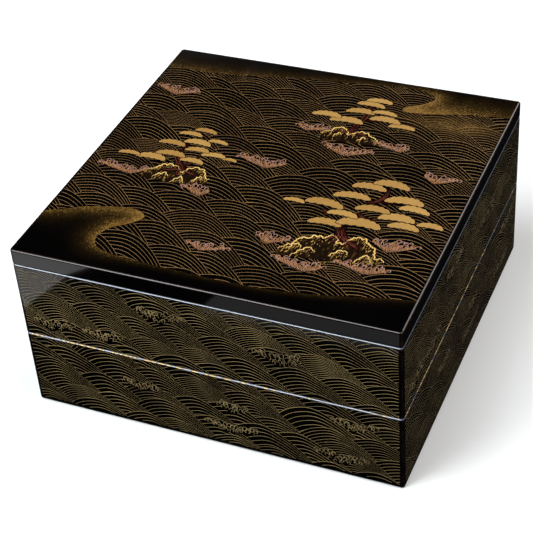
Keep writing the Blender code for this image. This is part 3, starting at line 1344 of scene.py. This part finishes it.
def spray(figures, left, right, top, bottom, lean, hand=POWDERED):
    """A crest on its own black ground."""
    crest = Crest(figures.chance, left, right, top, bottom, lean)
    across = np.linspace(left, right, 40)
    ground = np.vstack([
        np.column_stack([across, crest.slope(across) - 0.4]),
        np.column_stack([across, crest.crown(across) + 0.7])[::-1],
    ])
    figures.ground(ground, SPRAY_LEVEL)
    streaks(figures, crest, hand)
    curls(figures, crest, hand, lean)


# %% [markdown]
# ## The picture on the lid
#
# Three pines on their rocks, with spray at their feet, and four loose crests. The lists give
# only where things stand, in millimetres from the middle of the lid; their forms come from the
# functions above, with a fixed seed.

# %% Place the pines, rocks and spray
lid_figures = Figures(seed=5)

# right, up, width of each cushion
LEFT_PINE = [
    (-49.0, 22.8, 12.5), (-55.6, 18.1, 13.1), (-38.8, 15.0, 11.3), (-48.8, 11.5, 15.0),
    (-61.5, 7.8, 15.0), (-46.3, 5.3, 13.1), (-36.3, 3.1, 13.1), (-26.9, 1.9, 8.2),
    (-58.1, -1.5, 16.3), (-45.0, -4.4, 13.1), (-79.0, -6.5, 11.9), (-66.6, -6.9, 16.3),
]
BACK_PINE = [
    (27.5, 75.6, 14.4), (24.4, 71.3, 15.6), (33.8, 65.3, 13.8), (21.0, 63.4, 15.6),
    (5.0, 56.0, 16.3), (36.0, 59.0, 16.9), (16.9, 53.4, 18.1), (46.3, 55.3, 14.4),
]
FRONT_PINE = [
    (58.1, 5.0, 18.8), (48.1, 0.3, 17.5), (68.1, -6.3, 19.4), (42.5, -9.1, 18.8),
    (74.8, -11.5, 15.6), (55.6, -16.5, 17.5), (31.9, -18.5, 20.0), (16.9, -20.3, 11.3),
    (68.8, -20.3, 18.1), (85.6, -21.3, 13.1), (43.1, -24.1, 15.6), (73.8, -25.6, 15.6),
    (53.1, -29.4, 21.9), (37.3, -32.9, 16.9),
]
# points and widths of each limb
LEFT_LIMBS = [
    ([(-54.5, 4.0), (-54.6, -1.0), (-52.0, -6.0), (-48.0, -10.5), (-46.5, -14.0)],
     (1.2, 1.8, 3.4, 4.4)),
    ([(-52.5, 11.0), (-53.8, 6.0), (-53.0, -2.0)], (0.8, 1.3, 1.6)),
    ([(-47.5, -9.0), (-44.0, -4.5), (-43.0, 2.0)], (2.0, 1.4, 0.8)),
    ([(-47.0, -11.5), (-53.0, -14.5), (-58.0, -14.8)], (3.0, 1.8, 0.6)),
    ([(-46.5, -12.0), (-41.0, -14.5), (-36.5, -15.0)], (2.8, 1.8, 0.6)),
    ([(-46.8, -12.5), (-47.5, -16.5), (-46.0, -18.5)], (2.8, 1.6, 0.5)),
]
BACK_LIMBS = [
    ([(25.8, 70.5), (25.4, 64.0), (24.6, 56.0), (23.2, 50.0), (23.4, 44.5)],
     (1.2, 1.8, 2.6, 4.4)),
    ([(24.8, 57.5), (30.0, 57.0), (34.0, 58.0)], (1.4, 1.1, 0.7)),
    ([(23.6, 46.5), (18.5, 43.0), (14.5, 42.8)], (3.0, 1.6, 0.6)),
    ([(23.6, 46.0), (29.0, 43.2), (33.5, 43.0)], (2.8, 1.6, 0.6)),
    ([(23.4, 45.5), (23.0, 41.5), (24.5, 39.5)], (2.8, 1.6, 0.5)),
]
FRONT_LIMBS = [
    ([(57.6, 2.0), (57.8, -4.5), (55.0, -9.5), (50.5, -12.5)], (1.4, 2.2, 2.4, 1.4)),
    ([(55.5, -9.0), (61.0, -9.0), (65.0, -8.0)], (1.6, 1.2, 0.7)),
    ([(33.0, -22.0), (36.0, -26.5)], (1.2, 2.4)),
    ([(50.0, -20.0), (53.0, -23.5), (60.0, -24.8)], (1.4, 2.6, 1.2)),
    ([(46.8, -33.0), (46.4, -37.0), (49.0, -41.0), (54.5, -44.5), (60.5, -45.8)],
     (3.4, 4.6, 4.2, 1.4)),
    ([(47.0, -35.0), (47.5, -41.5), (45.5, -47.0)], (3.6, 3.0, 0.7)),
    ([(48.0, -37.5), (51.5, -43.0), (52.0, -48.0)], (3.2, 2.4, 0.6)),
    ([(46.5, -40.0), (42.5, -44.0), (40.0, -45.5)], (2.6, 1.5, 0.5)),
    ([(53.0, -43.5), (57.5, -46.5), (59.5, -49.5)], (2.6, 1.6, 0.5)),
]
PINES = [(LEFT_PINE, LEFT_LIMBS), (BACK_PINE, BACK_LIMBS), (FRONT_PINE, FRONT_LIMBS)]
for cushions, limbs in PINES:
    pine(lid_figures, cushions, limbs)

# lobes: middle, top and half width; arcs: middle, top, half width and foot
rock(lid_figures, (-65.0, -24.0), (-29.0, -22.5),
     [(-60.5, -15.8, 4.5), (-53.5, -10.0, 7.0), (-46.0, -14.5, 5.5), (-39.2, -9.0, 6.0),
      (-31.8, -16.0, 2.9)],
     [(-54.0, -17.6, 5.0, -22.5), (-44.5, -18.6, 3.6, -24.5), (-35.0, -15.6, 3.0, -21.0)])
rock(lid_figures, (8.0, 34.2), (39.0, 36.0),
     [(11.4, 41.8, 3.4), (16.8, 46.8, 4.6), (23.0, 42.0, 5.0), (28.8, 45.6, 5.2),
      (33.8, 42.6, 3.8), (36.6, 41.0, 2.5)],
     [(17.6, 42.0, 2.8, 38.0), (31.0, 41.2, 2.8, 37.0)])
rock(lid_figures, (23.6, -62.0), (74.5, -56.0),
     [(26.2, -55.5, 2.6), (28.6, -52.8, 3.4), (32.4, -46.5, 3.6), (38.4, -43.4, 5.4),
      (44.8, -41.0, 4.2), (51.0, -45.5, 5.0), (57.6, -39.0, 6.4), (63.0, -43.2, 4.6),
      (70.8, -51.6, 3.4)],
     [(31.0, -51.4, 4.0, -57.0), (37.4, -52.6, 6.4, -61.0), (53.0, -50.2, 5.4, -56.5),
      (64.6, -50.6, 4.4, -58.0)])

# left, right, top and bottom of each crest, and which way it leans
SPRAYS = [
    (-89.0, -64.0, -14.0, -23.5, -0.6), (-39.0, -25.0, -20.5, -31.0, -0.5),
    (-6.0, 11.0, 47.0, 39.0, 0.8), (15.0, 38.0, 34.5, 22.5, 0.2), (39.0, 56.5, 42.0, 33.5, -0.8),
    (11.0, 25.5, -45.5, -56.5, 0.7), (25.5, 49.0, -60.5, -70.5, -0.4),
    (53.0, 78.0, -54.5, -64.0, -0.2), (63.5, 83.5, -34.0, -45.5, 0.3),
    (-92.0, -69.5, 62.5, 51.5, 0.1), (-23.0, 2.0, 12.5, 1.0, -0.3),
    (70.0, 86.5, 23.0, 12.5, 0.5), (-18.0, 0.5, -62.0, -70.5, 0.6),
]
for crest in SPRAYS:
    spray(lid_figures, *crest)
print({piece: len(paths) for piece, paths in lid_figures.strokes.items()})

# %% [markdown]
# ## Golds and colours of the figures
#
# The cushions are the densest gold, sprinkled over raised lacquer and burnished. Rock edges are
# brighter still. Limbs are red lacquer dulled with dark powder, so dull that they hardly shine,
# and spray is copper powder that turns to tin and mother of pearl at the tips.

# %% Mix the finishes of the figures
CUSHION_GOLD = screen_colour(184, 142, 75)
CUSHION_SHADE = screen_colour(152, 110, 50)
ROCK_GOLD = screen_colour(246, 204, 122)
ROCK_GOLD_DARK = screen_colour(200, 154, 78)
FRINGE = screen_colour(134, 98, 38)
FRINGE_LIGHT = screen_colour(208, 166, 84)
LIMB_RED = screen_colour(28, 4, 3)
LIMB_LIGHT = screen_colour(112, 60, 46)
MATT = {"Specular IOR Level": 0.02}
SPRAY_WARM = screen_colour(148, 98, 49)
SPRAY_COOL = screen_colour(146, 128, 146)
SHADE_BLACK = screen_colour(20, 11, 6)
SHADE_OLIVE = screen_colour(146, 104, 42)
FIGURE_POWDER = 0.2


def black_ground():
    finish = Finish("black_ground")
    colour, roughness, normal = lacquer_ground(finish)
    return finish.close(colour, roughness, 0.0, normal, LACQUER_SHINE)


def figure_gold(name, dark, light, metallic, plain=None):
    """Powder on lacquer: grains of two shades, with slow drifts between them."""
    finish = Finish(name)
    powder = finish.grains(FIGURE_POWDER)
    drift = finish.noise(3.2, 3.0).step(0.3, 0.75)
    share = finish.attribute("tone") * 0.8 + drift * 0.2 + powder * 0.16 - 0.08
    share = share.most(0.0).least(1.0)
    colour = finish.mix(share, dark, light)
    normal = finish.bump(powder, 0.012, 0.5)
    return finish.close(colour, powder * 0.12 + 0.42, metallic, normal, plain)


def rock_shade():
    """Olive powder spread thinly over black, in uneven patches."""
    finish = Finish("rock_shade")
    thin = finish.noise(2.6, 3.0, (0.6, 1.6, 1.0)).step(0.5, 0.8) * 0.4
    colour = finish.mix(thin * finish.grains(0.22), SHADE_BLACK, SHADE_OLIVE)
    return finish.close(colour, thin * 0.1 + 0.35, 0.0, None, MATT)


# %% [markdown]
# Everything is drawn flat and overlaps, so what lies above is also a little higher: a leaf has
# its level in the stack, and a stroke a height for its foot and for its arch. The steps are a
# few thousandths of a millimetre, just enough that no film pierces the one above it.

# %% Cut the figures and lay them on the lid
ground_finish = black_ground()
FIGURE_FINISHES = {
    "black_grounds": ground_finish,
    "limb_rims": ground_finish,
    "pine_cushions": figure_gold("cushion_gold", CUSHION_SHADE, CUSHION_GOLD, 0.3),
    "rock_lines": figure_gold("rock_gold", ROCK_GOLD_DARK, ROCK_GOLD, 0.3),
    "rock_fringe": figure_gold("fringe_gold", FRINGE, FRINGE_LIGHT, 0.3),
    "rock_shade": rock_shade(),
    "limbs": figure_gold("limb_lacquer", LIMB_RED, LIMB_LIGHT, 0.0, plain=MATT),
    "limb_streaks": figure_gold("limb_streak", LIMB_RED, LIMB_LIGHT, 0.0, plain=MATT),
    "spray_lines": figure_gold("spray_powder", SPRAY_WARM, SPRAY_COOL, 0.15),
    "crest_lines": wall_finish,
    # The bright gold on the lower rim is a painted highlight.
    "rim_gold": figure_gold("rim_gold", ROCK_GOLD_DARK, ROCK_GOLD, 0.1),
}
# height of a stroke's foot above the lacquer, and how far it arches
STROKE_HEIGHTS = {
    "limb_rims": (0.084, 0.002),
    "limbs": (0.092, 0.008),
    "limb_streaks": (0.122, 0.05),
    "rock_lines": (0.079, 0.06),
    "spray_lines": (0.162, 0.08),
    "crest_lines": (0.162, 0.08),
    "rim_gold": (0.0, 0.14),
}
LEAF = {"Layer": 0.004 * MM}
DAB = {"Dab_length": 1.7 * MM, "Dab_width": 0.32 * MM, "Arch": 0.02 * MM}
DAB_LIFT = 0.077


def lifted(drawing, height):
    drawing.transform(Matrix.Translation((0.0, 0.0, height * MM)))
    return drawing


def cut_figures(figures, prefix=""):
    """Every piece of the figures as a flat film."""
    films = {}

    def cut(recipe, piece, drawing, **sizes):
        films[piece] = recipe.cook(prefix + piece, drawing, FIGURE_FINISHES[piece], **sizes)

    for piece, paths in figures.strokes.items():
        lift, arch = STROKE_HEIGHTS[piece]
        cut(DRAWN_LINE, piece, lifted(path_mesh(paths), lift), Arch=arch * MM, **LINE)
    for piece, leaves in figures.leaves.items():
        cut(CUT_LEAF, piece, outline_mesh(leaves), **LEAF)
    for piece, dabs in figures.dabs.items():
        cut(DABS, piece, lifted(dab_mesh(dabs), DAB_LIFT), **DAB)
    return films


for piece, film in cut_figures(lid_figures).items():
    lay_on_lid(piece, film)

# %% [markdown]
# ## Crests on the walls
#
# The walls carry spray too, but drawn with the same gold as the ripples, in thin curls and few
# streaks. The same functions draw it. Along the lower tier's rim a row of short dashes of bright
# gold is a painted highlight on the shoulder.

# %% Place the crests of the walls
# left, right, top and bottom above the table, and lean
WALL_CRESTS = {
    "upper_tier": [
        (-33.0, -9.0, 82.0, 70.0, 0.4), (27.0, 49.0, 73.0, 60.5, 0.2),
        (-90.0, -69.5, 60.5, 50.0, 0.5), (-63.0, -44.0, 60.0, 50.5, 0.1),
    ],
    "lower_tier": [
        (-46.0, -27.0, 32.5, 23.5, 0.2), (5.0, 20.0, 33.0, 23.0, 0.4), (-2.5, 24.0, 19.5, 9.5, 0.2),
        (64.0, 84.0, 39.5, 30.0, 0.4), (55.0, 79.0, 17.5, 7.0, 0.3),
    ],
}


RIM_ENDS = HALF - 3.0
RIM_DEPTH = 0.08                            # of the dashes, below the rim
DASH_PLACES = (-HALF, -10.0, 30.0, HALF)
DASH_CHANCES = (0.85, 0.6, 0.25, 0.15)      # that there is a dash, at those places


def paint_rim_glints(figures, rim):
    """A painted highlight: dashes of bright gold on the rim's shoulder, fewer towards the right."""
    chance = figures.chance
    low = rim - RIM_DEPTH
    place = -RIM_ENDS
    while place < RIM_ENDS:
        length = chance.uniform(0.6, 3.4)
        if chance.uniform() < np.interp(place, DASH_PLACES, DASH_CHANCES):
            dash = [(place, low), (place + length / 2, low + 0.02), (place + length, low)]
            figures.stroke("rim_gold", dash, (0.4, 0.6, 0.4), (1.0, 1.2))
        place += length + chance.uniform(0.3, 1.6)


for tier, crests in WALL_CRESTS.items():
    low, high, rim = TIERS[tier]
    figures = Figures(seed=17)
    for crest in crests:
        spray(figures, *crest, hand=LINED)
    if tier == "lower_tier":
        paint_rim_glints(figures, rim)
    for piece, film in cut_figures(figures, tier + "_").items():
        lay_round_walls(tier + "_" + piece, film, low, high, rim)

# %% [markdown]
# ## Floor and light
#
# The box stands on a plain pale floor. Gloss shows what surrounds it, so the light is arranged
# for the lacquer: nothing bright stands where the lid would mirror it into the lens. A large
# softbox at the front left lights the gold and the front edges, one behind lines the lid's right
# edge, and a faint card behind greys the far part of the lid. The front wall and the lid's band
# mirror the table in front of the box, which is why two small patches of it glow. They show in
# the lacquer alone, because the lens doesn't see them.

# %% Lay the floor and hang the lights
FLOOR_COLOUR = screen_colour(244, 243, 241)
FLOOR_SHADE = screen_colour(225, 224, 222)
FLOOR_REACH = 4.0
WORLD_GREY = 0.008
WHITE = (1.0, 1.0, 1.0)
COOL_WHITE = (0.9, 0.96, 1.0)
AIM = Vector((0.0, 0.0, 0.04))
GLOW_HEIGHT = 0.002


def make_floor():
    mesh = bpy.data.meshes.new("floor")
    signs = [(-1, -1), (1, -1), (1, 1), (-1, 1)]
    corners = [(x * FLOOR_REACH, y * FLOOR_REACH, 0.0) for x, y in signs]
    mesh.from_pydata(corners, [], [(0, 1, 2, 3)])
    finish = Finish("pale_floor")
    shade = finish.noise(400.0, 2.0).step(0.2, 0.8, 0.0, 0.08)
    colour = finish.mix(shade, FLOOR_COLOUR, FLOOR_SHADE)
    mesh.materials.append(finish.close(colour, shade + 0.6))
    floor = new_object("floor", mesh)
    floor.visible_glossy = False


# %% Make the lights
def area_light(name, size, watts, colour):
    data = bpy.data.lights.new(name, "AREA")
    data.shape = "RECTANGLE"
    data.size, data.size_y = size
    data.energy = watts
    data.color = colour
    return new_object(name, data)


def hang_light(name, place, size, watts, colour=WHITE):
    """A softbox or a card that faces the box."""
    light = area_light(name, size, watts, colour)
    light.location = place
    light.rotation_euler = (AIM - Vector(place)).to_track_quat("-Z", "Y").to_euler()


def lay_glow(name, place, size, watts, turn=0.0):
    """A bright patch of table, which only the lacquer's shine shows."""
    light = area_light(name, size, watts, WHITE)
    light.location = (*place, GLOW_HEIGHT)
    light.rotation_euler = (math.pi, 0.0, math.radians(turn))
    light.visible_camera = False


def light_the_world():
    world = bpy.data.worlds.new("studio")
    world.use_nodes = True
    sheet = Sheet(world.node_tree)
    grey = (WORLD_GREY, WORLD_GREY, WORLD_GREY * 1.03, 1.0)
    glow = sheet.add("ShaderNodeBackground", None, {"Color": grey, "Strength": 1.0})
    sheet.add("ShaderNodeOutputWorld", None, {"Surface": glow})
    bpy.context.scene.world = world
    bpy.context.scene.view_settings.view_transform = "Standard"


make_floor()
hang_light("top_softbox", (-0.6, -0.68, 1.3), (0.9, 1.7), 40.0, COOL_WHITE)
hang_light("fill_softbox", (0.7, 0.1, 2.0), (0.8, 0.8), 19.0)
hang_light("side_softbox", (1.5, -0.2, 0.9), (0.8, 0.8), 3.0)
hang_light("back_softbox", (0.29, 1.41, 0.99), (0.6, 0.9), 6.0)
hang_light("horizon_card", (-0.36, 1.40, 0.71), (1.1, 0.3), 0.12, COOL_WHITE)
lay_glow("card_glow", (-0.163, -0.1867), (0.07, 0.06), 0.0155, turn=-72.2)
lay_glow("table_glow", (0.017, -0.199), (0.125, 0.030), 0.0038)
light_the_world()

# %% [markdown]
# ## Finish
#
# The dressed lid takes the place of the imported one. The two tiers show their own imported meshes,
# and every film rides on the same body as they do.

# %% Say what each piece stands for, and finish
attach(lid, BODY)
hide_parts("lid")
